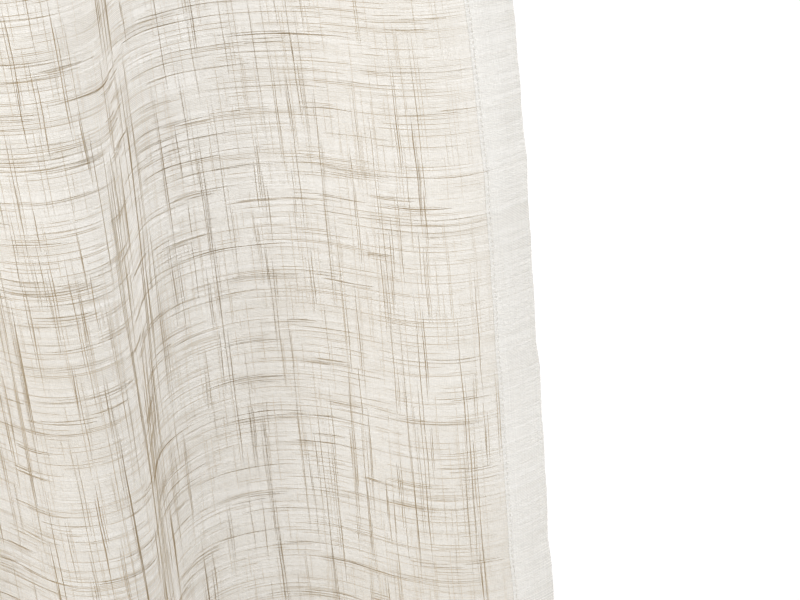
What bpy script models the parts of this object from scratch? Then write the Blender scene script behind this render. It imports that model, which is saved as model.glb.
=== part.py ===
"""An eyelet curtain of slub voile, hanging in its folds. Metres, +Z up.

The origin is on the line that the rod takes through the eyelets, at the middle of the width. X runs along
the rod, and the front of the curtain faces -Y.
"""

import collections
import math

import bmesh
import bpy
import numpy as np
from mathutils import Matrix

# The sewn curtain, laid flat
FLAT_WIDTH = 1.400
ABOVE_ROD = 0.050
BELOW_ROD = 2.450
HEADING_HEIGHT = 0.100
SIDE_HEM = 0.030
BOTTOM_HEM = 0.080
HEM_STEP = 0.001

# The cloth, measured towards the front from its middle
SINGLE_CLOTH = 0.0012
DOUBLED_CLOTH = 0.0024
FRONT_FACE = 0.0006
BACK_OF_HEADING = FRONT_FACE - DOUBLED_CLOTH
CLEARANCE = 0.0003

# The eyelets
EYELET_COUNT = 8
EDGE_TO_EYELET = 0.055
EYELET_PITCH = (FLAT_WIDTH - 2 * EDGE_TO_EYELET) / (EYELET_COUNT - 1)
BORE_RADIUS = 0.020
BARREL_RADIUS = 0.0222
FLANGE_RADIUS = 0.029
FLANGE_DEPTH = 0.002
EYELET_SIDES = 24

# The folds. A crossing is where the cloth passes the line of the rod, and flat_run is how far it stays
# straight each side of one.
LEVEL_DEPTHS = {"heading": 0.10, "upper": 1.10, "lower": 1.50, "hem": BELOW_ROD}
FLAT_RUN = {"heading": 0.033, "upper": 0.008, "lower": 0.008, "hem": 0.006}

# One row for each crossing, from the left edge to the right. The four columns of shift are how far it has
# moved along the cloth, in millimetres, and those of turn its angle to the rod, in degrees, at each level.
Crossing = collections.namedtuple("Crossing", "name shift turn")
CROSSINGS = (
    # name, shift: heading, upper, lower, hem, turn: heading, upper, lower, hem
    Crossing("left_edge", shift=(0, 0, 0, 0), turn=(26, -12, -20, -26)),
    Crossing("eyelet_01", shift=(0, 14, 18, 24), turn=(66, 64, 62, 60)),
    Crossing("eyelet_02", shift=(0, -10, -14, -20), turn=(-68, -71, -70, -66)),
    Crossing("eyelet_03", shift=(0, 16, 22, 30), turn=(67, 66, 63, 60)),
    Crossing("eyelet_04", shift=(0, 8, 4, -4), turn=(-66, -64, -66, -67)),
    Crossing("eyelet_05", shift=(0, -6, -12, -20), turn=(68, 72, 72, 70)),
    Crossing("eyelet_06", shift=(0, 12, 8, 0), turn=(-67, -68, -66, -62)),
    Crossing("eyelet_07", shift=(0, -46, -68, -72), turn=(66, 66, 72, 68)),
    Crossing("eyelet_08", shift=(0, -42, -56, -60), turn=(-67, -60, -60, -58)),
    Crossing("right_edge", shift=(0, 0, 0, 0), turn=(-26, 18, 20, 16)),
)
HOMES = (
    [0.0]
    + [EDGE_TO_EYELET + EYELET_PITCH * number for number in range(EYELET_COUNT)]
    + [FLAT_WIDTH]
)

# How finely the solids are cut up
WALK_STEPS = 1400
PANEL_COLUMNS = 96
PANEL_ROWS = 16
HEADING_COLUMN = 0.010


def at_depth(depth, values):
    """A value between the levels: a smooth curve through all four, and constant within the heading."""
    depths = list(LEVEL_DEPTHS.values())
    depth = min(max(depth, depths[0]), depths[-1])
    last = len(depths) - 1
    slopes = [0.0] * len(depths)
    for level in range(1, last):
        rise = values[level + 1] - values[level - 1]
        slopes[level] = rise / (depths[level + 1] - depths[level - 1])
    slopes[last] = (values[last] - values[last - 1]) / (depths[last] - depths[last - 1])
    level = max(i for i in range(last) if depth >= depths[i])
    span = depths[level + 1] - depths[level]
    u = (depth - depths[level]) / span
    return (
        (2 * u**3 - 3 * u**2 + 1) * values[level]
        + (u**3 - 2 * u**2 + u) * span * slopes[level]
        + (3 * u**2 - 2 * u**3) * values[level + 1]
        + (u**3 - u**2) * span * slopes[level + 1]
    )


def turns_along(places, depth):
    """The cloth's angle to the rod at each place along its width, in radians."""
    crossings = [
        home + at_depth(depth, row.shift) / 1000 for home, row in zip(HOMES, CROSSINGS)
    ]
    turns = [math.radians(at_depth(depth, row.turn)) for row in CROSSINGS]
    flat = at_depth(depth, list(FLAT_RUN.values()))
    found = np.full(len(places), turns[0])
    for number in range(len(crossings) - 1):
        start = crossings[number] + (flat if number else 0)
        end = crossings[number + 1] - (flat if number < EYELET_COUNT else 0)
        part = np.clip((places - start) / (end - start), 0, 1)
        eased = (1 - np.cos(math.pi * part)) / 2
        inside = places >= crossings[number]
        turned = turns[number] + (turns[number + 1] - turns[number]) * eased
        found[inside] = turned[inside]
    return found


def fold_line(depth):
    """The cloth seen from above at one depth: the places along it with their x, y and angle."""
    places = np.linspace(0, FLAT_WIDTH, WALK_STEPS + 1)
    turns = turns_along(places, depth)
    middles = (turns[1:] + turns[:-1]) / 2
    step = FLAT_WIDTH / WALK_STEPS
    x = np.concatenate([[0], np.cumsum(np.cos(middles)) * step])
    y = np.concatenate([[0], np.cumsum(np.sin(middles)) * step])
    return places, x - x[-1] / 2, y - y.mean(), turns


def rod_offset():
    """How far the eyelets' own line lies from the middle of the folds in the heading."""
    places, _, y, _ = fold_line(0)
    return float(np.interp(HOMES[1:-1], places, y).mean())


ROD_OFFSET = rod_offset()


def cloth_points(places, depth, offset):
    """Points of the hanging cloth at one depth, moved towards its front by the offset."""
    walked, x, y, turns = fold_line(depth)
    turn = np.interp(places, walked, turns)
    across = np.interp(places, walked, x) + offset * np.sin(turn)
    along = np.interp(places, walked, y) - offset * np.cos(turn) - ROD_OFFSET
    return [(a, b, -depth) for a, b in zip(across, along)]


def new_object(name, mesh, material):
    obj = bpy.data.objects.new(name, mesh)
    bpy.context.scene.collection.objects.link(obj)
    if material:
        mesh.materials.append(material)
    return obj


def new_material(name, colour, roughness, metallic):
    material = bpy.data.materials.new(name)
    material.use_nodes = True
    shader = material.node_tree.nodes["Principled BSDF"]
    shader.inputs["Base Color"].default_value = (*colour, 1)
    shader.inputs["Roughness"].default_value = roughness
    shader.inputs["Metallic"].default_value = metallic
    return material


def sheet_mesh(name, columns, depths):
    """The front face of a piece of cloth, cut into triangles that its back face will share."""
    bm = bmesh.new()
    rows = [
        [bm.verts.new(point) for point in cloth_points(columns, depth, FRONT_FACE)]
        for depth in depths
    ]
    for upper, lower in zip(rows, rows[1:]):
        for left in range(len(columns) - 1):
            bm.faces.new((lower[left], lower[left + 1], upper[left + 1], upper[left]))
    bmesh.ops.triangulate(bm, faces=bm.faces[:], quad_method="FIXED")
    mesh = bpy.data.meshes.new(name)
    bm.to_mesh(mesh)
    bm.free()
    mesh.shade_smooth()
    return mesh


def thicken(obj):
    """Gives the cloth its thickness behind the front face, half as much where it isn't doubled."""
    solidify = obj.modifiers.new("thickness", "SOLIDIFY")
    solidify.thickness = DOUBLED_CLOTH
    solidify.offset = -1
    solidify.use_even_offset = True
    solidify.vertex_group = "doubled"
    solidify.thickness_vertex_group = 0


def make_panel(material):
    """The body of the curtain, under the heading: single cloth with its two side hems and bottom hem."""
    hem_line = BELOW_ROD - BOTTOM_HEM
    body = np.linspace(SIDE_HEM + HEM_STEP, FLAT_WIDTH - SIDE_HEM - HEM_STEP, PANEL_COLUMNS)
    left_hem = [0, SIDE_HEM / 2, SIDE_HEM]
    right_hem = [FLAT_WIDTH - place for place in reversed(left_hem)]
    columns = np.concatenate([left_hem, body, right_hem])
    top = HEADING_HEIGHT - ABOVE_ROD + CLEARANCE
    depths = list(np.linspace(top, hem_line - HEM_STEP, PANEL_ROWS))
    depths += [hem_line, BELOW_ROD]

    obj = new_object("panel", sheet_mesh("panel", columns, depths), material)
    doubled = obj.vertex_groups.new(name="doubled")
    for row, depth in enumerate(depths):
        for column, place in enumerate(columns):
            in_hem = min(place, FLAT_WIDTH - place) <= SIDE_HEM or depth >= hem_line
            index = row * len(columns) + column
            weight = 1.0 if in_hem else SINGLE_CLOTH / DOUBLED_CLOTH
            doubled.add([index], weight, "REPLACE")
    thicken(obj)
    return obj


def eyelet_frame(number):
    """Where an eyelet's middle is, with its own Z towards the front and its own Y up."""
    home = HOMES[number + 1]
    turn = math.radians(CROSSINGS[number + 1].turn[0])
    x, y, z = cloth_points([home], 0, 0)[0]
    return Matrix(
        (
            (math.cos(turn), 0, math.sin(turn), x),
            (math.sin(turn), 0, -math.cos(turn), y),
            (0, 1, 0, z),
            (0, 0, 0, 1),
        )
    )


def turned_mesh(name, profile):
    """A closed profile of (radius, height) points, turned round Z."""
    bm = bmesh.new()
    corners = [bm.verts.new((radius, 0, height)) for radius, height in profile]
    edges = [
        bm.edges.new((corner, corners[(index + 1) % len(corners)]))
        for index, corner in enumerate(corners)
    ]
    bmesh.ops.spin(
        bm,
        geom=corners + edges,
        cent=(0, 0, 0),
        axis=(0, 0, 1),
        angle=2 * math.pi,
        steps=EYELET_SIDES,
        use_merge=True,
    )
    bmesh.ops.remove_doubles(bm, verts=bm.verts[:], dist=0.00001)
    bmesh.ops.recalc_face_normals(bm, faces=bm.faces[:])
    mesh = bpy.data.meshes.new(name)
    bm.to_mesh(mesh)
    bm.free()
    mesh.shade_smooth()
    mesh.set_sharp_from_angle(angle=math.radians(40))
    return mesh


def hole_cutter():
    """One drum for each eyelet, through the heading and a little wider than the barrel."""
    bm = bmesh.new()
    for number in range(EYELET_COUNT):
        bmesh.ops.create_cone(
            bm,
            cap_ends=True,
            segments=EYELET_SIDES,
            radius1=BARREL_RADIUS + CLEARANCE,
            radius2=BARREL_RADIUS + CLEARANCE,
            depth=6 * DOUBLED_CLOTH,
            matrix=eyelet_frame(number),
        )
    mesh = bpy.data.meshes.new("hole_cutter")
    bm.to_mesh(mesh)
    bm.free()
    cutter = new_object("hole_cutter", mesh, None)
    cutter.hide_render = True
    cutter.display_type = "WIRE"
    return cutter


def heading_columns():
    """The flat stretch at each eyelet in one piece, and even columns round the bends between them."""
    columns = [0.0]
    for home in HOMES[1:-1] + [FLAT_WIDTH + FLAT_RUN["heading"]]:
        end = home - FLAT_RUN["heading"]
        count = max(2, round((end - columns[-1]) / HEADING_COLUMN))
        columns += list(np.linspace(columns[-1], end, count + 1))[1:]
        if home < FLAT_WIDTH:
            columns.append(home + FLAT_RUN["heading"])
    return columns


def make_heading(material):
    """The doubled strip along the top that the eyelets are pressed into."""
    columns = heading_columns()
    depths = [-ABOVE_ROD, HEADING_HEIGHT - ABOVE_ROD]
    obj = new_object("heading", sheet_mesh("heading", columns, depths), material)
    doubled = obj.vertex_groups.new(name="doubled")
    doubled.add(list(range(len(depths) * len(columns))), 1.0, "REPLACE")
    thicken(obj)
    cut = obj.modifiers.new("eyelet_holes", "BOOLEAN")
    cut.operation = "DIFFERENCE"
    cut.solver = "EXACT"
    cut.object = hole_cutter()
    return obj


def ring_profile():
    """The front half of an eyelet: a domed flange, and the barrel that goes through the cloth."""
    seat = FRONT_FACE + CLEARANCE
    back = BACK_OF_HEADING - CLEARANCE - FLANGE_DEPTH
    return (
        (BORE_RADIUS, back),
        (BARREL_RADIUS, back),
        (BARREL_RADIUS, seat),
        (FLANGE_RADIUS, seat),
        (FLANGE_RADIUS - 0.0008, seat + 0.65 * FLANGE_DEPTH),
        (FLANGE_RADIUS - 0.0038, seat + FLANGE_DEPTH),
        (BORE_RADIUS + 0.0018, seat + 0.75 * FLANGE_DEPTH),
        (BORE_RADIUS, seat),
    )


def washer_profile():
    """The back half of an eyelet, pressed onto the barrel from behind."""
    seat = BACK_OF_HEADING - CLEARANCE
    inner = BARREL_RADIUS + CLEARANCE
    return (
        (inner, seat),
        (inner, seat - FLANGE_DEPTH),
        (FLANGE_RADIUS - 0.0015, seat - FLANGE_DEPTH),
        (FLANGE_RADIUS, seat - 0.4 * FLANGE_DEPTH),
        (FLANGE_RADIUS, seat),
    )


def make_eyelets(material):
    ring = turned_mesh("eyelet_ring", ring_profile())
    washer = turned_mesh("eyelet_washer", washer_profile())
    ring.materials.append(material)
    washer.materials.append(material)
    for number in range(EYELET_COUNT):
        for kind, mesh in (("ring", ring), ("washer", washer)):
            piece = new_object(f"eyelet_{kind}_{number + 1:02d}", mesh, None)
            piece.matrix_world = eyelet_frame(number)


def main():
    for obj in list(bpy.data.objects):
        bpy.data.objects.remove(obj)
    cloth = new_material("slub_voile", (0.86, 0.82, 0.75), 0.85, 0.0)
    steel = new_material("satin_steel", (0.56, 0.55, 0.53), 0.32, 1.0)
    make_panel(cloth)
    make_heading(cloth)
    make_eyelets(steel)


main()
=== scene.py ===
# Eyelet curtain of slub voile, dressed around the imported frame. Blender 4.5, metres, +Z up.
# The rod's line is z = 0, depths are measured down from it, and the front faces -Y.
import math

import bpy
import numpy as np
from mathutils import Matrix, Vector


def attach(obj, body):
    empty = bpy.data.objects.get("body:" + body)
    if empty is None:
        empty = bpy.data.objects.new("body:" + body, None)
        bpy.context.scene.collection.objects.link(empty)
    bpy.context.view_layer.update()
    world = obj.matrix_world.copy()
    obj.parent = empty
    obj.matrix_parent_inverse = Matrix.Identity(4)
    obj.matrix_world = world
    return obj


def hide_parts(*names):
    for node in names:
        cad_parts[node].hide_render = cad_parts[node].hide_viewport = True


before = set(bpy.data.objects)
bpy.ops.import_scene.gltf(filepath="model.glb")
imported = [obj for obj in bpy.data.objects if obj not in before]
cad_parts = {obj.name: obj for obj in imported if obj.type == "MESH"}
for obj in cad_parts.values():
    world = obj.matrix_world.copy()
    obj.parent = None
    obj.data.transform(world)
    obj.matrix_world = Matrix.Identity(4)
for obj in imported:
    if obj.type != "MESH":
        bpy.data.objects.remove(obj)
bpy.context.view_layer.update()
print("frame loaded:", len(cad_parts), "nodes")

# the sewn curtain, laid flat
curtain = {
    "width": 1.400,
    "aboveRod": 0.050,
    "belowRod": 2.450,
    "headingBottom": 0.050,
    "sideHem": 0.030,
    "bottomHem": 0.080,
    "eyelets": 8,
    "edgeToEyelet": 0.055,
}

# the folds at four depths: shift is how far a crossing of the rod's line has moved along the cloth, in mm,
# and turn its angle to the rod, in degrees. One row for each crossing, left edge to right edge.
# flatRun is how far the cloth runs straight on both sides of a crossing, in metres.
folds = {
    "depths": (0.10, 1.10, 1.50, 2.45),
    "flatRun": (0.033, 0.008, 0.008, 0.006),
    "crossings": (
        {"at": "left edge", "shift": (0, 0, 0, 0), "turn": (26, -12, -20, -26)},
        {"at": "eyelet 1", "shift": (0, 14, 18, 24), "turn": (66, 64, 62, 60)},
        {"at": "eyelet 2", "shift": (0, -10, -14, -20), "turn": (-68, -71, -70, -66)},
        {"at": "eyelet 3", "shift": (0, 16, 22, 30), "turn": (67, 66, 63, 60)},
        {"at": "eyelet 4", "shift": (0, 8, 4, -4), "turn": (-66, -64, -66, -67)},
        {"at": "eyelet 5", "shift": (0, -6, -12, -20), "turn": (68, 72, 72, 70)},
        {"at": "eyelet 6", "shift": (0, 12, 8, 0), "turn": (-67, -68, -66, -62)},
        {"at": "eyelet 7", "shift": (0, -46, -68, -72), "turn": (66, 66, 72, 68)},
        {"at": "eyelet 8", "shift": (0, -42, -56, -60), "turn": (-67, -60, -60, -58)},
        {"at": "right edge", "shift": (0, 0, 0, 0), "turn": (-26, 18, 20, 16)},
    ),
    "walkStep": 0.002,
    "depthStep": 0.005,
}

pitch = (curtain["width"] - 2 * curtain["edgeToEyelet"]) / (curtain["eyelets"] - 1)
homes = [0.0]
homes += [curtain["edgeToEyelet"] + pitch * number for number in range(curtain["eyelets"])]
homes += [curtain["width"]]


def atDepth(depth, values):
    # a smooth curve through the four levels, constant within the heading
    depths = folds["depths"]
    depth = min(max(depth, depths[0]), depths[-1])
    last = len(depths) - 1
    slopes = [0.0] * len(depths)
    for level in range(1, last):
        slopes[level] = (values[level + 1] - values[level - 1]) / (depths[level + 1] - depths[level - 1])
    slopes[last] = (values[last] - values[last - 1]) / (depths[last] - depths[last - 1])
    level = max(number for number in range(last) if depth >= depths[number])
    span = depths[level + 1] - depths[level]
    u = (depth - depths[level]) / span
    start = (2 * u**3 - 3 * u**2 + 1) * values[level] + (u**3 - 2 * u**2 + u) * span * slopes[level]
    end = (3 * u**2 - 2 * u**3) * values[level + 1] + (u**3 - u**2) * span * slopes[level + 1]
    return start + end


def turnsAlong(places, depth):
    # the cloth's angle to the rod at places across it, eased from crossing to crossing
    rows = folds["crossings"]
    crossings = [home + atDepth(depth, row["shift"]) / 1000 for home, row in zip(homes, rows)]
    turns = [math.radians(atDepth(depth, row["turn"])) for row in rows]
    flat = atDepth(depth, folds["flatRun"])
    found = np.full(len(places), turns[0])
    for number in range(len(rows) - 1):
        start = crossings[number] + (flat if number else 0)
        end = crossings[number + 1] - (flat if number < curtain["eyelets"] else 0)
        eased = (1 - np.cos(math.pi * np.clip((places - start) / (end - start), 0, 1))) / 2
        inside = places >= crossings[number]
        found[inside] = (turns[number] + (turns[number + 1] - turns[number]) * eased)[inside]
    return found


def foldMap():
    # the fold line seen from above at each depth, as three grids: x, y and the cloth's angle
    places = np.linspace(0, curtain["width"], round(curtain["width"] / folds["walkStep"]) + 1)
    height = curtain["aboveRod"] + curtain["belowRod"]
    depths = np.linspace(-curtain["aboveRod"], curtain["belowRod"], round(height / folds["depthStep"]) + 1)
    rows = []
    for depth in depths:
        turns = turnsAlong(places, depth)
        middles = (turns[1:] + turns[:-1]) / 2
        x = np.concatenate([[0], np.cumsum(np.cos(middles)) * folds["walkStep"]])
        y = np.concatenate([[0], np.cumsum(np.sin(middles)) * folds["walkStep"]])
        rows.append((x - x[-1] / 2, y - y.mean(), turns))
    grids = np.array(rows)
    rodOffset = np.interp(homes[1:-1], places, grids[0, 1]).mean()
    grids[:, 1] -= rodOffset
    return grids


foldGrids = foldMap()

# how the hung cloth departs from its main folds: slack in the body, as waves of a size, with a number of
# them to the metre across and down and a phase, and a slight wobble of the free edges, with waves down alone
slack = {
    "body": ((0.0007, 3.1, 0.9, 0.4), (0.0005, 7.3, 1.7, 2.1), (0.0003, 12.7, 4.3, 4.4)),
    "edge": ((0.0005, 24.5, 0.6), (0.0004, 15.8, 2.9), (0.0004, 7.1, 4.7)),
    "edgeReach": 0.030,
    "freeOver": 0.25,
}


def clothPoints(places, depths, offsets):
    # points of the hung cloth, with the directions along it and out of its front
    places, depths, offsets = np.broadcast_arrays(places, depths, offsets)
    column = np.clip(places / folds["walkStep"], 0, foldGrids.shape[2] - 1.000001)
    row = np.clip((depths + curtain["aboveRod"]) / folds["depthStep"], 0, foldGrids.shape[0] - 1.000001)
    left, top = column.astype(int), row.astype(int)
    across, down = column - left, row - top
    across, down = across[..., None], down[..., None]
    upper = foldGrids[top, :, left] * (1 - across) + foldGrids[top, :, left + 1] * across
    lower = foldGrids[top + 1, :, left] * (1 - across) + foldGrids[top + 1, :, left + 1] * across
    x, y, turn = np.moveaxis(upper * (1 - down) + lower * down, -1, 0)
    free = np.clip((depths - curtain["headingBottom"]) / slack["freeOver"], 0, 1)
    bulge = sum(
        size * np.sin(2 * math.pi * (sideways * places + downwards * depths) + phase)
        for size, sideways, downwards, phase in slack["body"]
    )
    wobble = sum(size * np.sin(2 * math.pi * rate * depths + phase) for size, rate, phase in slack["edge"])
    toEdge = np.minimum(places, curtain["width"] - places)
    side = np.where(places > curtain["width"] / 2, 1.0, -1.0)
    wobble = side * wobble * np.exp(-toEdge / slack["edgeReach"]) * free
    along = np.stack([np.cos(turn), np.sin(turn), np.zeros_like(turn)], -1)
    front = np.stack([np.sin(turn), -np.cos(turn), np.zeros_like(turn)], -1)
    middle = np.stack([x, y, -depths], -1)
    return middle + front * (offsets + bulge * free)[..., None] + along * wobble[..., None], along, front


# the cloth as it is cut and turned: layer 0 is the front one, and each further layer lies behind it
cloth = {
    "thickness": 0.0003,
    "frontLayer": 0.0003,
    "layerGap": 0.0005,
    "foldRadius": 0.0006,
    "columnStep": 0.0054,
    "rowStep": 0.0150,
    "headingRowStep": 0.0100,
    "hemStep": 0.0048,
    "rawEdge": 0.002,
}


def layerOffset(layer):
    return cloth["frontLayer"] - cloth["layerGap"] * layer


def evenSteps(start, end, step):
    return np.linspace(start, end, max(2, round(abs(end - start) / step) + 1))


def clothColumns():
    # across the width: the left hem from its raw edge, its fold, the front, and the same on the right
    near, width = cloth["foldRadius"], curtain["width"]
    hem = evenSteps(curtain["sideHem"], near, cloth["hemStep"])
    front = evenSteps(near, width - near, cloth["columnStep"])
    places = np.concatenate([hem, [0], front, [width], width - hem[::-1]])
    layers = np.concatenate([0 * hem + 1, [0.5], 0 * front, [0.5], 0 * hem + 1])
    flat = np.concatenate([-hem, [0], front, [width], width + hem[::-1]])
    return places, layers, flat


def panelRows():
    # down the drop, round the bottom fold and up behind it
    near, end = cloth["foldRadius"], curtain["belowRod"]
    front = evenSteps(curtain["headingBottom"], end - near, cloth["rowStep"])
    back = evenSteps(end - near, end - curtain["bottomHem"], cloth["rowStep"])
    depths = np.concatenate([front, [end], back])
    turned = np.concatenate([0 * front, [0.5], 0 * back + 1])
    flat = np.concatenate([front, [end], 2 * end - back])
    return depths, turned, flat


def headingRows():
    # from the raw edge behind, up to the top fold and down the front
    near, top = cloth["foldRadius"], -curtain["aboveRod"]
    back = evenSteps(curtain["headingBottom"] - cloth["rawEdge"], top + near, cloth["headingRowStep"])
    front = evenSteps(top + near, curtain["headingBottom"], cloth["headingRowStep"])
    depths = np.concatenate([back, [top], front])
    turned = np.concatenate([0 * back + 1, [0.5], 0 * front])
    flat = np.concatenate([2 * top - back, [top], front])
    return depths, turned, flat


def newObject(name, mesh):
    obj = bpy.data.objects.new(name, mesh)
    bpy.context.scene.collection.objects.link(obj)
    return obj


def selectOnly(*objs):
    # an operator acts on all that is selected
    for obj in bpy.context.selected_objects:
        obj.select_set(False)
    for obj in objs:
        obj.select_set(True)
    bpy.context.view_layer.objects.active = objs[0]


def applyModifier(obj, name):
    selectOnly(obj)
    bpy.ops.object.modifier_apply(modifier=name)


def makeSheet(name, rows):
    # one surface through front, folds and hems, with a map of the flat cloth, given its thickness at the end
    places, layers, flatAcross = clothColumns()
    depths, turned, flatDown = rows
    # turned cloth brings the back layers to the outside, so their order runs the other way
    layer = layers[None, :] * (1 - 2 * turned[:, None]) + 3 * turned[:, None]
    layer = np.where(turned[:, None] == 0.5, 1.5, layer)
    inner = np.where(turned == 0.5, cloth["foldRadius"], 0)[:, None] * layers[None, :]
    up = 1 if depths[0] > 0 and turned[0] == 0 else -1
    points, _, _ = clothPoints(places[None, :], depths[:, None] - up * inner, layerOffset(layer))
    corner = np.arange(len(depths) * len(places)).reshape(len(depths), len(places))
    quads = np.stack([corner[1:, :-1], corner[1:, 1:], corner[:-1, 1:], corner[:-1, :-1]], -1).reshape(-1, 4)
    mesh = bpy.data.meshes.new(name)
    mesh.from_pydata(points.reshape(-1, 3).tolist(), [], quads.tolist())
    flat = np.stack(np.broadcast_arrays(flatAcross[None, :], -flatDown[:, None]), -1).reshape(-1, 2)
    mesh.uv_layers.new(name="flatCloth").data.foreach_set("uv", flat[quads].ravel())
    mesh.shade_smooth()
    obj = newObject(name, mesh)
    wall = obj.modifiers.new("thickness", "SOLIDIFY")
    wall.thickness = cloth["thickness"]
    wall.offset = 0
    applyModifier(obj, "thickness")
    return obj


panelCloth = makeSheet("panelCloth", panelRows())
headingCloth = makeSheet("headingCloth", headingRows())
print("cloth made:", len(panelCloth.data.polygons) + len(headingCloth.data.polygons), "faces")


# the eyelets: two pressed halves, each a ring of (radius, height) steps, height towards the front
eyelet = {
    "holeRadius": 0.0224,
    "cutDepth": 0.020,
    "segments": 72,
    "turnEach": 31,
    "mergeWithin": 0.00001,
    "front": (
        (0.0200, -0.0041), (0.0202, 0.0010), (0.0205, 0.0019), (0.0213, 0.0026), (0.0226, 0.0029),
        (0.0246, 0.00285), (0.0266, 0.0026), (0.0280, 0.0021), (0.0288, 0.0014), (0.0290, 0.0009),
        (0.0286, 0.00055), (0.0278, 0.0006), (0.0270, 0.0009), (0.0232, 0.0010), (0.0221, 0.0006),
        (0.0219, -0.0002), (0.0219, -0.0036), (0.0217, -0.0040), (0.0210, -0.0041),
    ),
    "back": (
        (0.0223, -0.0015), (0.0223, -0.0034), (0.0230, -0.0039), (0.0246, -0.0041), (0.0268, -0.0039),
        (0.0282, -0.0034), (0.0289, -0.0027), (0.0290, -0.0019), (0.0287, -0.0014), (0.0278, -0.0014),
        (0.0262, -0.0017), (0.0240, -0.0016),
    ),
}


def eyeletFrame(number):
    # an eyelet's own Z faces the front and its own Y is up
    middle, along, front = clothPoints(homes[number + 1], 0.0, 0.0)
    return Matrix.Translation(Vector(middle)) @ Matrix(
        [(along[0], 0, front[0]), (along[1], 0, front[1]), (0, 1, 0)]
    ).to_4x4()


def turnedRing(name, profile):
    # one circle, extruded and resized from step to step of the profile, then closed on itself
    selectOnly(headingCloth)
    radius, height = profile[0]
    bpy.ops.mesh.primitive_circle_add(vertices=eyelet["segments"], radius=radius, location=(0, 0, height))
    ring = bpy.context.object
    ring.name = name
    bpy.ops.object.transform_apply(location=True)
    bpy.ops.object.mode_set(mode="EDIT")
    for nextRadius, nextHeight in list(profile[1:]) + [profile[0]]:
        bpy.ops.mesh.extrude_region_move()
        bpy.ops.transform.translate(value=(0, 0, nextHeight - height))
        grow = nextRadius / radius
        bpy.ops.transform.resize(value=(grow, grow, 1), center_override=(0, 0, 0))
        radius, height = nextRadius, nextHeight
    bpy.ops.mesh.select_all(action="SELECT")
    bpy.ops.mesh.remove_doubles(threshold=eyelet["mergeWithin"])
    bpy.ops.mesh.normals_make_consistent(inside=False)
    bpy.ops.object.mode_set(mode="OBJECT")
    ring.data.shade_smooth()
    # its map runs round the ring and out along the radius, for the brushing of the steel
    points = np.array([vertex.co[:] for vertex in ring.data.vertices])
    turn = np.arctan2(points[:, 1], points[:, 0]) / (2 * math.pi)
    mapped = ring.data.uv_layers.new(name="roundRing").data
    for face in ring.data.polygons:
        corners = turn[list(face.vertices)]
        corners = np.where(corners < corners.max() - 0.5, corners + 1, corners)
        for loop, corner, share in zip(face.loop_indices, face.vertices, corners):
            reach = math.hypot(points[corner][0], points[corner][1]) - points[corner][2]
            mapped[loop].uv = (share, reach)
    return ring


def placeEyelets(name, pattern):
    # each copy is turned a little more, so that their brushing differs
    placed = []
    for number in range(curtain["eyelets"]):
        copy = newObject(f"{name}{number + 1:02d}", pattern.data.copy())
        turned = Matrix.Rotation(math.radians(eyelet["turnEach"] * number), 4, "Z")
        copy.data.transform(eyeletFrame(number) @ turned)
        placed.append(copy)
    bpy.data.objects.remove(pattern)
    return placed


def cutEyeletHoles():
    cutters = []
    for number in range(curtain["eyelets"]):
        selectOnly(headingCloth)
        bpy.ops.mesh.primitive_cylinder_add(
            vertices=eyelet["segments"], radius=eyelet["holeRadius"], depth=eyelet["cutDepth"]
        )
        drum = bpy.context.object
        drum.data.transform(eyeletFrame(number))
        cutters.append(drum)
    selectOnly(*cutters)
    bpy.ops.object.join()
    cutter = bpy.context.object
    holes = headingCloth.modifiers.new("eyeletHoles", "BOOLEAN")
    holes.operation = "DIFFERENCE"
    holes.solver = "EXACT"
    holes.object = cutter
    applyModifier(headingCloth, "eyeletHoles")
    bpy.data.objects.remove(cutter)


cutEyeletHoles()
frontRings = placeEyelets("eyeletFront", turnedRing("frontPattern", eyelet["front"]))
backRings = placeEyelets("eyeletBack", turnedRing("backPattern", eyelet["back"]))
print("eyelets made:", len(frontRings) + len(backRings))


# thick places spun into the yarns, and the sewing thread. Sizes are in metres, and the rest are shares.
slubs = {
    "seed": 27,
    "weftPerSquareMetre": 2750,
    "warpPerSquareMetre": 2700,
    "weftLengths": (0.024, 0.085),
    "warpLengths": (0.030, 0.120),
    "radii": (0.00016, 0.00026),
    "thinShare": 1.6,
    "taper": 0.35,
    "lumps": 0.25,
    "lumpsEach": 2.3,
    "sway": 0.00025,
    "swayLength": 0.045,
    "tintsAndShade": (0.25, 1.0),
    "tintSpread": 0.12,
    "grouped": 0.42,
    "groupGap": (0.0009, 0.0022),
    "groupSlide": 0.35,
    "groupLengths": (0.5, 1.1),
    "hemReach": 0.010,
    "keptAcross": 0.4,
    "lifted": 0.00013,
    "inFront": 0.7,
    "edgeMargin": 0.001,
}
stitches = {
    "pitch": 0.0032,
    "length": 0.0026,
    "radius": 0.00015,
    "fromHeadingEdge": 0.003,
    "fromHemEdge": 0.002,
    "proud": 0.0001,
}


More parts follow.
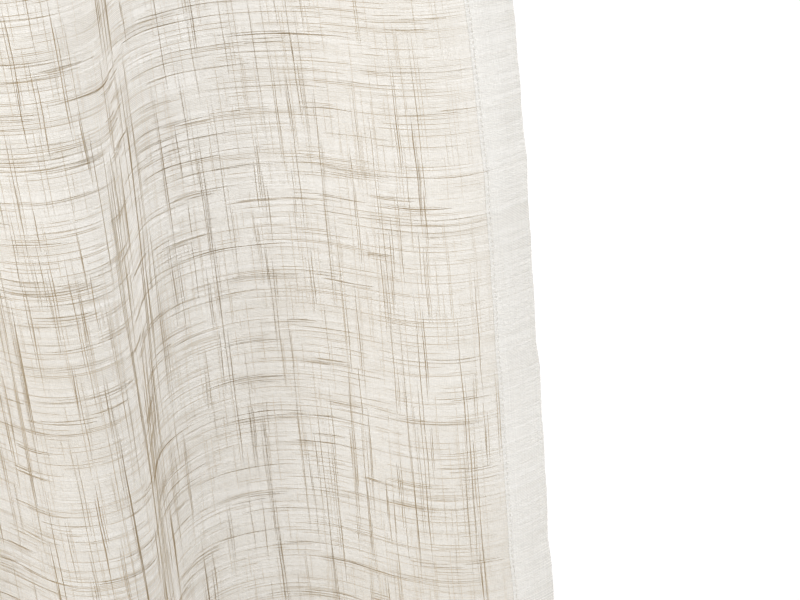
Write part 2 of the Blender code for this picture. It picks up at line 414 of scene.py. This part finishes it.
def makeTubes(name, across, down, offset, radius, weft, tintAndShade):
    # each row of across and down is the line of one tube, which narrows to a point at both ends
    points, along, front = clothPoints(across, down, offset)
    side = np.zeros_like(along) + (0, 0, 1) if weft else along
    count, steps = across.shape
    angles = np.radians([90, 210, 330])
    ring = points[:, 1:-1, None] + radius[:, 1:-1, None, None] * (
        np.cos(angles)[:, None] * side[:, 1:-1, None] + np.sin(angles)[:, None] * front[:, 1:-1, None]
    )
    inner = (steps - 2) * 3
    vertices = np.concatenate([ring.reshape(count, inner, 3), points[:, :1], points[:, -1:]], axis=1)
    faces = []
    for corner in range(3):
        nextCorner = (corner + 1) % 3
        faces.append((nextCorner, corner, inner))
        faces.append((inner + 1, inner - 3 + corner, inner - 3 + nextCorner))
        for step in range(steps - 3):
            a, b = 3 * step + corner, 3 * step + nextCorner
            faces.append((b + 3, a + 3, a))
            faces.append((b, b + 3, a))
    allFaces = (np.array(faces)[None] + np.arange(count)[:, None, None] * (inner + 2)).reshape(-1, 3)
    mesh = bpy.data.meshes.new(name)
    mesh.from_pydata(vertices.reshape(-1, 3).tolist(), [], allFaces.tolist())
    shade = mesh.attributes.new("tintAndShade", "FLOAT", "POINT")
    shade.data.foreach_set("value", np.repeat(tintAndShade, inner + 2))
    mesh.shade_smooth()
    return newObject(name, mesh)


def scatterSlubs(rng, density, weft, steps):
    # lines of slubs on the flat cloth, many of them in twos and threes
    width, height = curtain["width"], curtain["aboveRod"] + curtain["belowRod"]
    first = round(density * width * height * (1 - slubs["grouped"]))
    across = rng.uniform(0, width, first)
    down = rng.uniform(-curtain["aboveRod"], curtain["belowRod"], first)
    lengths = slubs["weftLengths" if weft else "warpLengths"]
    length = np.exp(rng.uniform(*np.log(lengths), first))
    extra = rng.choice(first, round(density * width * height * slubs["grouped"]))
    apart = rng.uniform(*slubs["groupGap"], len(extra)) * rng.choice([-1, 1], len(extra))
    slide = rng.normal(0, slubs["groupSlide"], len(extra)) * length[extra]
    moves = (slide, apart) if weft else (apart, slide)
    across = np.concatenate([across, across[extra] + moves[0]])
    down = np.concatenate([down, down[extra] + moves[1]])
    length = np.concatenate([length, length[extra] * rng.uniform(*slubs["groupLengths"], len(extra))])
    count = len(length)
    thick = rng.uniform(0, 1, count) ** slubs["thinShare"]
    radius = np.interp(thick, (0, 1), slubs["radii"])
    share = np.linspace(0, 1, steps)
    run = (share[None, :] - 0.5) * length[:, None]
    # yarns that lie side by side sway together
    phase = rng.uniform(0, 1, count)
    phase[first:] = phase[extra] + slide / slubs["swayLength"]
    sway = slubs["sway"] * np.sin(2 * math.pi * (run / slubs["swayLength"] + phase[:, None]))
    across = across[:, None] + (run if weft else sway)
    down = down[:, None] + (sway if weft else run)
    phase = rng.uniform(0, 1, count)[:, None]
    lumps = 1 + slubs["lumps"] * np.sin(2 * math.pi * (slubs["lumpsEach"] * share[None, :] + phase))
    girth = radius[:, None] * np.sin(math.pi * share)[None, :] ** slubs["taper"] * lumps
    lift = np.where(rng.uniform(0, 1, count) < slubs["inFront"], slubs["lifted"], -slubs["lifted"])
    # thicker slubs are darker: partly their own colour, partly painted shade of thick yarn that lets less
    # light through
    tintAndShade = np.interp(thick, (0, 1), slubs["tintsAndShade"]) + rng.normal(0, slubs["tintSpread"], count)
    tintAndShade = np.clip(tintAndShade, 0, 1)
    return across, down, cloth["frontLayer"] + lift[:, None], girth, tintAndShade


def keptSlubs(rng, across, down):
    # none past an edge, near an eyelet or in a side hem, and fewer on the bottom hem and the heading
    margin, width, hem = slubs["edgeMargin"], curtain["width"], curtain["sideHem"]
    middle = across.mean(1)
    inside = np.minimum(middle, width - middle) > hem
    inside &= np.minimum(across.min(1), width - across.max(1)) > hem - slubs["hemReach"]
    inside &= (down.min(1) > -curtain["aboveRod"] + margin) & (down.max(1) < curtain["belowRod"] - margin)
    for home in homes[1:-1]:
        inside &= np.hypot(across - home, down).min(1) > eyelet["holeRadius"] + 2 * margin
    kept = np.where(down.mean(1) > curtain["belowRod"] - curtain["bottomHem"], slubs["keptAcross"], 1.0)
    kept = np.where(down.mean(1) < curtain["headingBottom"], slubs["keptAcross"], kept)
    return inside & (rng.uniform(0, 1, len(middle)) < kept)


def makeSlubs():
    rng = np.random.default_rng(slubs["seed"])
    made = []
    for name, density, weft, steps in (
        ("weftSlubs", slubs["weftPerSquareMetre"], True, 9),
        ("warpSlubs", slubs["warpPerSquareMetre"], False, 5),
    ):
        across, down, offset, girth, tintAndShade = scatterSlubs(rng, density, weft, steps)
        kept = keptSlubs(rng, across, down)
        parts = {"": kept}
        if weft:
            upper = down.mean(1) < curtain["belowRod"] / 2
            parts = {"Upper": kept & upper, "Lower": kept & ~upper}
        for part, mask in parts.items():
            lines = across[mask], down[mask], offset[mask], girth[mask]
            made.append(makeTubes(name + part, *lines, weft, tintAndShade[mask]))
    return made


def stitchLine(start, end, fixed, weft, offset):
    # one row of stitches as lines across and down, with how far they lie in front of the folds' middle
    middles = np.arange(start + stitches["pitch"], end - stitches["pitch"], stitches["pitch"])
    run = middles[:, None] + np.linspace(-0.5, 0.5, 4)[None, :] * stitches["length"]
    still = np.full_like(run, fixed)
    return (run, still, weft, offset) if weft else (still, run, weft, offset)


def makeStitches():
    width, drop = curtain["width"], curtain["belowRod"]
    sideSeam = curtain["sideHem"] - stitches["fromHemEdge"]
    headingSeam = curtain["headingBottom"] - stitches["fromHeadingEdge"]
    bottomSeam = drop - curtain["bottomHem"] + stitches["fromHemEdge"]
    proud = cloth["thickness"] / 2 + stitches["proud"]
    seams = []
    for depth in (headingSeam, bottomSeam):
        for offset in (layerOffset(0) + proud, layerOffset(3) - proud):
            seams.append(stitchLine(0, width, depth, True, offset))
    for place in (sideSeam, width - sideSeam):
        for offset in (layerOffset(0) + proud, layerOffset(1) - proud):
            seams.append(stitchLine(curtain["headingBottom"], drop, place, False, offset))
    made = []
    for name, weft in (("crossStitches", True), ("hemStitches", False)):
        rows = [seam for seam in seams if seam[2] == weft]
        across = np.concatenate([seam[0] for seam in rows])
        down = np.concatenate([seam[1] for seam in rows])
        offset = np.concatenate([np.full(len(seam[0]), seam[3]) for seam in rows])[:, None]
        radius = np.full_like(across, stitches["radius"])
        made.append(makeTubes(name, across, down, offset, radius, weft, np.zeros(len(across))))
    return made


slubPieces = makeSlubs()
stitchPieces = makeStitches()
for piece in slubPieces + stitchPieces:
    print(piece.name, "triangles:", len(piece.data.polygons))


# materials: the cloth's patterns follow the flat cloth's own map, in metres
def addMath(tree, operation, *values):
    node = tree.nodes.new("ShaderNodeMath")
    node.operation = operation
    for socket, value in zip(node.inputs, values):
        if isinstance(value, bpy.types.NodeSocket):
            tree.links.new(value, socket)
        else:
            socket.default_value = value
    return node.outputs[0]


def addRange(tree, value, fromLow, fromHigh, toLow, toHigh, smooth=False):
    node = tree.nodes.new("ShaderNodeMapRange")
    node.interpolation_type = "SMOOTHSTEP" if smooth else "LINEAR"
    for name, given in (
        ("Value", value), ("From Min", fromLow), ("From Max", fromHigh), ("To Min", toLow), ("To Max", toHigh)
    ):
        if isinstance(given, bpy.types.NodeSocket):
            tree.links.new(given, node.inputs[name])
        else:
            node.inputs[name].default_value = given
    return node.outputs["Result"]


def addMix(tree, share, first, second):
    node = tree.nodes.new("ShaderNodeMix")
    node.data_type = "RGBA"
    tree.links.new(share, node.inputs["Factor"])
    for name, given in (("A", first), ("B", second)):
        socket = next(s for s in node.inputs if s.name == name and s.type == "RGBA")
        if isinstance(given, bpy.types.NodeSocket):
            tree.links.new(given, socket)
        else:
            socket.default_value = (*given, 1)
    return next(s for s in node.outputs if s.type == "RGBA")


def addNoise(tree, across, down, scale, detail=1.0):
    vector = tree.nodes.new("ShaderNodeCombineXYZ")
    for name, given in (("X", across), ("Y", down)):
        tree.links.new(given, vector.inputs[name])
    noise = tree.nodes.new("ShaderNodeTexNoise")
    noise.noise_dimensions = "2D"
    noise.inputs["Scale"].default_value = scale
    noise.inputs["Detail"].default_value = detail
    tree.links.new(vector.outputs[0], noise.inputs["Vector"])
    return noise.outputs["Fac"]


def buildThreadLines():
    # parallel threads one pitch apart, each thick only where its own noise passes the threshold
    group = bpy.data.node_groups.new("threadLines", "ShaderNodeTree")
    for name in ("Across", "Along", "Pitch", "Width", "Rate", "Threshold", "Softness", "Seed"):
        group.interface.new_socket(name, in_out="INPUT", socket_type="NodeSocketFloat")
    group.interface.new_socket("Mask", in_out="OUTPUT", socket_type="NodeSocketFloat")
    given = group.nodes.new("NodeGroupInput").outputs
    lane = addMath(group, "DIVIDE", given["Across"], given["Pitch"])
    number = addMath(group, "FLOOR", lane)
    fromMiddle = addMath(group, "ABSOLUTE", addMath(group, "SUBTRACT", addMath(group, "FRACT", lane), 0.5))
    profile = addRange(group, fromMiddle, 0.0, given["Width"], 1.0, 0.0, smooth=True)
    row = addMath(group, "MULTIPLY_ADD", number, 7.31, given["Seed"])
    strength = addNoise(group, addMath(group, "MULTIPLY", given["Along"], given["Rate"]), row, 1.0)
    end = addMath(group, "ADD", given["Threshold"], given["Softness"])
    thick = addRange(group, strength, given["Threshold"], end, 0.0, 1.0, smooth=True)
    result = group.nodes.new("NodeGroupOutput")
    group.links.new(addMath(group, "MULTIPLY", profile, thick), result.inputs["Mask"])
    return group


threadLines = buildThreadLines()


def addThreads(tree, across, along, values):
    node = tree.nodes.new("ShaderNodeGroup")
    node.node_tree = threadLines
    tree.links.new(across, node.inputs["Across"])
    tree.links.new(along, node.inputs["Along"])
    for name, value in values.items():
        node.inputs[name].default_value = value
    return node.outputs["Mask"]


def newMaterial(name):
    material = bpy.data.materials.new(name)
    material.use_nodes = True
    material.node_tree.nodes.clear()
    return material, material.node_tree


def addOutput(tree, shader):
    output = tree.nodes.new("ShaderNodeOutputMaterial")
    tree.links.new(shader, output.inputs["Surface"])


def addPrincipled(tree, values, links):
    shader = tree.nodes.new("ShaderNodeBsdfPrincipled")
    for name, value in values.items():
        shader.inputs[name].default_value = value
    for name, source in links.items():
        tree.links.new(source, shader.inputs[name])
    return shader.outputs["BSDF"]


def addBump(tree, height, strength, distance):
    bump = tree.nodes.new("ShaderNodeBump")
    bump.inputs["Strength"].default_value = strength
    bump.inputs["Distance"].default_value = distance
    tree.links.new(height, bump.inputs["Height"])
    return bump.outputs["Normal"]


# the sheer cloth: how much each thread covers, how its colours mix, and the threads' own values.
# A pitch is in metres on the flat cloth, a width in pitches, and a rate in changes to the metre.
voile = {
    "cream": (0.75, 0.69, 0.59),
    "shade": (0.685, 0.62, 0.515),
    "doubled": (0.975, 0.96, 0.925),
    "yarn": (0.49, 0.37, 0.215),
    "openCover": 0.506,
    "weftCover": 0.30,
    "warpCover": 0.12,
    "slubCover": 0.97,
    "coverSpread": 0.04,
    "coverScale": 7.0,
    "warpLines": 0.8,
    "bands": 0.2,
    "linesInSideHems": 0.15,
    "linesAcross": 0.5,
    "linesByHem": 0.45,
    "fade": 0.035,
    "threadTone": 2.4,
    "lineTintAndShade": 0.9,
    "threadHeight": 4.8,
    "lineHeight": 2.0,
    "bump": (0.35, 0.00008),
    "passesLight": 0.42,
    "ground": {"Pitch": 0.00089, "Width": 0.5, "Rate": 14.0, "Threshold": 0.25, "Softness": 0.45},
    "long": {"Pitch": 0.00089, "Width": 0.35, "Rate": 10.0, "Threshold": 0.635, "Softness": 0.06},
    "short": {"Pitch": 0.00089, "Width": 0.33, "Rate": 24.0, "Threshold": 0.67, "Softness": 0.06},
    "band": {"Pitch": 0.00356, "Width": 0.5, "Rate": 15.0, "Threshold": 0.62, "Softness": 0.20},
}


def makeVoile():
    material, tree = newMaterial("slubVoile")
    flat = tree.nodes.new("ShaderNodeUVMap")
    flat.uv_map = "flatCloth"
    split = tree.nodes.new("ShaderNodeSeparateXYZ")
    tree.links.new(flat.outputs["UV"], split.inputs[0])
    place, down = split.outputs["X"], split.outputs["Y"]
    weftGround = addThreads(tree, down, place, {**voile["ground"], "Seed": 3.7})
    warpGround = addThreads(tree, place, down, {**voile["ground"], "Seed": 51.2})
    weftLong = addThreads(tree, down, place, {**voile["long"], "Seed": 112.9})
    weftShort = addThreads(tree, down, place, {**voile["short"], "Seed": 171.3})
    warpLong = addThreads(tree, place, down, {**voile["long"], "Seed": 233.8})
    warpShort = addThreads(tree, place, down, {**voile["short"], "Seed": 301.6})
    weftBand = addThreads(tree, down, place, {**voile["band"], "Seed": 377.1})
    warpBand = addThreads(tree, place, down, {**voile["band"], "Seed": 433.5})
    threads = addMath(tree, "MULTIPLY", weftGround, voile["weftCover"])
    threads = addMath(tree, "MULTIPLY_ADD", warpGround, voile["warpCover"], threads)
    weft = addMath(tree, "MAXIMUM", weftLong, weftShort)
    warp = addMath(tree, "MAXIMUM", warpLong, warpShort)
    lines = addMath(tree, "MAXIMUM", weft, addMath(tree, "MULTIPLY", warp, voile["warpLines"]))
    bands = addMath(tree, "MULTIPLY", addMath(tree, "MAXIMUM", weftBand, warpBand), voile["bands"])
    # where the cloth lies double, its layers wash the lines out, and its paler look is painted light: the
    # hems and heading get a near-white colour
    fromSide = addMath(tree, "MINIMUM", place, addMath(tree, "SUBTRACT", curtain["width"], place))
    hem = curtain["sideHem"]
    fade = addRange(tree, fromSide, hem, hem + voile["fade"], voile["linesByHem"], 1.0, smooth=True)
    inSides = addMath(tree, "GREATER_THAN", fromSide, hem)
    inSides = addRange(tree, inSides, 0.0, 1.0, voile["linesInSideHems"], fade)
    within = addMath(tree, "GREATER_THAN", down, curtain["bottomHem"] - curtain["belowRod"])
    within = addMath(tree, "MULTIPLY", within, addMath(tree, "LESS_THAN", down, -curtain["headingBottom"]))
    share = addMath(tree, "MULTIPLY", inSides, addRange(tree, within, 0.0, 1.0, voile["linesAcross"], 1.0))
    single = addMath(tree, "MULTIPLY", within, addMath(tree, "GREATER_THAN", fromSide, hem))
    slub = addMath(tree, "MULTIPLY", addMath(tree, "MAXIMUM", lines, bands), share)
    cloud = addNoise(tree, place, down, voile["coverScale"], 3.0)
    least, most = voile["openCover"] - voile["coverSpread"], voile["openCover"] + voile["coverSpread"]
    cover = addMath(tree, "ADD", threads, addRange(tree, cloud, 0.3, 0.7, least, most))
    alpha = addRange(tree, slub, 0.0, 1.0, cover, voile["slubCover"])
    # painted shade: between the threads and where they thin, the cloth takes the darker shade colour, and the
    # thread middles the paler cream
    tone = addMath(tree, "MULTIPLY", threads, voile["threadTone"])
    ground = addMix(tree, tone, voile["shade"], voile["cream"])
    # painted light: the doubled hems and heading are given a paler, near-white colour
    ground = addMix(tree, single, voile["doubled"], ground)
    # the slub lines are mixed towards a tan: partly the yarn's own colour, partly painted shade of thick yarn
    # that lets less light through
    colour = addMix(tree, addMath(tree, "MULTIPLY", slub, voile["lineTintAndShade"]), ground, voile["yarn"])
    height = addMath(tree, "MULTIPLY", slub, voile["lineHeight"])
    height = addMath(tree, "MULTIPLY_ADD", threads, voile["threadHeight"], height)
    normal = addBump(tree, height, *voile["bump"])
    values = {"Roughness": 0.92, "Sheen Weight": 0.25, "Sheen Roughness": 0.5, "Specular IOR Level": 0.2}
    front = addPrincipled(tree, values, {"Base Color": colour, "Normal": normal})
    through = tree.nodes.new("ShaderNodeBsdfTranslucent")
    tree.links.new(colour, through.inputs["Color"])
    tree.links.new(normal, through.inputs["Normal"])
    lit = tree.nodes.new("ShaderNodeMixShader")
    lit.inputs[0].default_value = voile["passesLight"]
    tree.links.new(front, lit.inputs[1])
    tree.links.new(through.outputs[0], lit.inputs[2])
    # a layer is a closed sheet, so only the side that a ray meets first covers
    side = tree.nodes.new("ShaderNodeNewGeometry")
    faced = addMath(tree, "SUBTRACT", 1.0, side.outputs["Backfacing"])
    sheer = tree.nodes.new("ShaderNodeMixShader")
    tree.links.new(addMath(tree, "MULTIPLY", alpha, faced), sheer.inputs[0])
    tree.links.new(tree.nodes.new("ShaderNodeBsdfTransparent").outputs[0], sheer.inputs[1])
    tree.links.new(lit.outputs[0], sheer.inputs[2])
    addOutput(tree, sheer.outputs[0])
    return material


yarn = {
    # the slubs' dark colour is partly their own and partly painted shade of thick yarn that lets less light
    # through
    "slub": {"dark": (0.47, 0.345, 0.185), "pale": (0.66, 0.545, 0.375)},
    "sewing": {"dark": (0.82, 0.77, 0.68), "pale": (0.91, 0.87, 0.80)},
    "fibreScale": 900.0,
    "fibreTone": 0.12,
    "bump": (0.5, 0.0001),
}


def makeYarn(name, colours):
    # the colour of a tube runs from pale and thin to dark and thick, partly the yarn's own colour and partly
    # painted shade of thick yarn that lets less light through, with fine streaks of fibre
    material, tree = newMaterial(name)
    tintAndShade = tree.nodes.new("ShaderNodeAttribute")
    tintAndShade.attribute_name = "tintAndShade"
    coords = tree.nodes.new("ShaderNodeTexCoord")
    noise = tree.nodes.new("ShaderNodeTexNoise")
    noise.inputs["Scale"].default_value = yarn["fibreScale"]
    noise.inputs["Detail"].default_value = 2.0
    tree.links.new(coords.outputs["Object"], noise.inputs["Vector"])
    fibre = noise.outputs["Fac"]
    streaks = addRange(tree, fibre, 0.3, 0.7, -yarn["fibreTone"], yarn["fibreTone"])
    share = addMath(tree, "ADD", tintAndShade.outputs["Fac"], streaks)
    colour = addMix(tree, share, colours["pale"], colours["dark"])
    normal = addBump(tree, fibre, *yarn["bump"])
    values = {"Roughness": 0.9, "Specular IOR Level": 0.2}
    addOutput(tree, addPrincipled(tree, values, {"Base Color": colour, "Normal": normal}))
    return material


steel = {
    "bright": (0.66, 0.645, 0.615),
    "dull": (0.46, 0.45, 0.43),
    "strokes": 60.0,
    "strokesRound": 0.35,
    "strokesOut": 80.0,
    "wornScale": 90.0,
    "roughness": (0.24, 0.42),
    "bump": (0.35, 0.00005),
}


def makeSteel():
    # brushed round the ring: long streaks along the turn, fine ones across it
    material, tree = newMaterial("satinSteel")
    flat = tree.nodes.new("ShaderNodeUVMap")
    flat.uv_map = "roundRing"
    split = tree.nodes.new("ShaderNodeSeparateXYZ")
    tree.links.new(flat.outputs["UV"], split.inputs[0])
    turn = addMath(tree, "MULTIPLY", split.outputs["X"], steel["strokesRound"])
    reach = addMath(tree, "MULTIPLY", split.outputs["Y"], steel["strokesOut"])
    brushed = addNoise(tree, turn, reach, steel["strokes"], 3.0)
    coords = tree.nodes.new("ShaderNodeTexCoord")
    worn = tree.nodes.new("ShaderNodeTexNoise")
    worn.inputs["Scale"].default_value = steel["wornScale"]
    worn.inputs["Detail"].default_value = 3.0
    tree.links.new(coords.outputs["Object"], worn.inputs["Vector"])
    dulled = addRange(tree, worn.outputs["Fac"], 0.35, 0.7, 0.0, 1.0)
    colour = addMix(tree, dulled, steel["bright"], steel["dull"])
    rough = addRange(tree, brushed, 0.3, 0.7, *steel["roughness"])
    normal = addBump(tree, brushed, *steel["bump"])
    links = {"Base Color": colour, "Roughness": rough, "Normal": normal}
    addOutput(tree, addPrincipled(tree, {"Metallic": 1.0}, links))
    return material


voileMaterial = makeVoile()
slubMaterial = makeYarn("slubYarn", yarn["slub"])
threadMaterial = makeYarn("sewingThread", yarn["sewing"])
steelMaterial = makeSteel()
for pieces, material in (
    ([panelCloth, headingCloth], voileMaterial),
    (slubPieces, slubMaterial),
    (stitchPieces, threadMaterial),
    (frontRings + backRings, steelMaterial),
):
    for piece in pieces:
        piece.data.materials.clear()
        piece.data.materials.append(material)
print("materials made")

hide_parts("panel")
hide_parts("heading")
for number in range(curtain["eyelets"]):
    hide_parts(f"eyelet_ring_{number + 1:02d}")
    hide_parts(f"eyelet_washer_{number + 1:02d}")
for piece in [panelCloth, headingCloth, *slubPieces, *stitchPieces]:
    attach(piece, "root")
for piece in frontRings + backRings:
    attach(piece, "root")


# studio: a pale floor, soft light from the front, the sides and behind
studio = {
    "floorSize": 120.0,
    "glowNear": 0.28,
    "glowFar": 0.64,
    "glowReach": (2.0, 9.0),
    "floorDepth": 2.465,
    "world": 0.22,
    "backdrop": 0.85,
    "lights": (
        {"name": "frontSoft", "at": (-3.5, -2.3, 0.4), "size": 2.0, "power": 86, "target": (0, 0, -1.1)},
        {"name": "sideSoft", "at": (3.4, -1.6, 0.4), "size": 2.0, "power": 28, "target": (0, 0, -1.2)},
        {"name": "backSoft", "at": (2.8, 2.8, 1.0), "size": 2.6, "power": 44, "target": (0, 0, -1.2)},
        {"name": "floorSoft", "at": (1.0, 6.6, 3.4), "size": 6.0, "power": 320, "target": (1.2, 6.8, -2.4)},
    ),
}


def makeFloor():
    selectOnly(panelCloth)
    bpy.ops.mesh.primitive_plane_add(size=studio["floorSize"], location=(0, 0, -studio["floorDepth"]))
    floor = bpy.context.object
    floor.name = "studioFloor"
    material, tree = newMaterial("paleFloor")
    coords = tree.nodes.new("ShaderNodeTexCoord")
    noise = tree.nodes.new("ShaderNodeTexNoise")
    noise.inputs["Scale"].default_value = 1.5
    tree.links.new(coords.outputs["Object"], noise.inputs["Vector"])
    rough = addRange(tree, noise.outputs["Fac"], 0.3, 0.7, 0.85, 0.95)
    # far off, the floor glows as bright as the backdrop, so that the two meet without a line
    away = tree.nodes.new("ShaderNodeVectorMath")
    away.operation = "LENGTH"
    tree.links.new(coords.outputs["Object"], away.inputs[0])
    glow = addRange(tree, away.outputs["Value"], *studio["glowReach"], studio["glowNear"], studio["glowFar"])
    values = {
        "Base Color": (0.88, 0.88, 0.87, 1),
        "Specular IOR Level": 0.1,
        "Emission Color": (1, 1, 1, 1),
    }
    addOutput(tree, addPrincipled(tree, values, {"Roughness": rough, "Emission Strength": glow}))
    floor.data.materials.append(material)


def makeWorld():
    # the backdrop that shows is paler than the light that the surroundings give
    world = bpy.data.worlds.new("studioWorld")
    bpy.context.scene.world = world
    world.use_nodes = True
    tree = world.node_tree
    tree.nodes.clear()
    seen = tree.nodes.new("ShaderNodeLightPath").outputs["Is Camera Ray"]
    given = addRange(tree, seen, 0.0, 1.0, studio["world"], studio["backdrop"])
    light = tree.nodes.new("ShaderNodeBackground")
    light.inputs["Color"].default_value = (1.0, 0.99, 0.975, 1)
    tree.links.new(given, light.inputs["Strength"])
    output = tree.nodes.new("ShaderNodeOutputWorld")
    tree.links.new(light.outputs[0], output.inputs["Surface"])


def makeLights():
    for row in studio["lights"]:
        light = bpy.data.lights.new(row["name"], "AREA")
        light.shape = "SQUARE"
        light.size = row["size"]
        light.energy = row["power"]
        lamp = newObject(row["name"], light)
        lamp.location = row["at"]
        aim = Vector(row["target"]) - Vector(row["at"])
        lamp.rotation_euler = aim.to_track_quat("-Z", "Y").to_euler()
        lamp.visible_camera = False


# the camera: its direction and roll, and the point of the right edge that it sees at a place of the picture
view = {
    "azimuth": -20.0,
    "down": 20.0,
    "roll": -5.7,
    "lens": 90.0,
    "sensor": 36.0,
    "pictureSize": (800, 600),
    "edgeDepth": 1.27,
    "edgeSeenAt": (534.6, 300.0),
    "edgeDistance": 1.10,
}


def makeCamera():
    azimuth, down, roll = (math.radians(view[name]) for name in ("azimuth", "down", "roll"))
    forward = Vector(
        (-math.sin(azimuth) * math.cos(down), math.cos(azimuth) * math.cos(down), -math.sin(down))
    )
    level = Vector((math.cos(azimuth), math.sin(azimuth), 0))
    upright = level.cross(forward)
    right = level * math.cos(roll) + upright * math.sin(roll)
    up = upright * math.cos(roll) - level * math.sin(roll)
    width, height = view["pictureSize"]
    focal = view["lens"] / view["sensor"] * width
    seenX, seenY = view["edgeSeenAt"]
    ray = (forward * focal + right * (seenX - width / 2) - up * (seenY - height / 2)).normalized()
    edge, _, _ = clothPoints(curtain["width"], view["edgeDepth"], 0.0)
    place = Vector(edge) - ray * view["edgeDistance"]
    data = bpy.data.cameras.new("photoCamera")
    data.lens = view["lens"]
    data.sensor_width = view["sensor"]
    data.clip_end = 200
    camera = newObject("photoCamera", data)
    turned = Matrix((right, up, -forward)).transposed()
    camera.matrix_world = Matrix.Translation(place) @ turned.to_4x4()
    bpy.context.scene.camera = camera


makeFloor()
makeWorld()
makeLights()
makeCamera()
bpy.context.scene.view_settings.view_transform = "Standard"
# a ray passes many thin layers of cloth, but a few bounces between them are enough
cycles = bpy.context.scene.cycles
cycles.transparent_max_bounces = 48
cycles.max_bounces = 5
cycles.diffuse_bounces = 3
cycles.glossy_bounces = 2
cycles.transmission_bounces = 3
print("studio made")
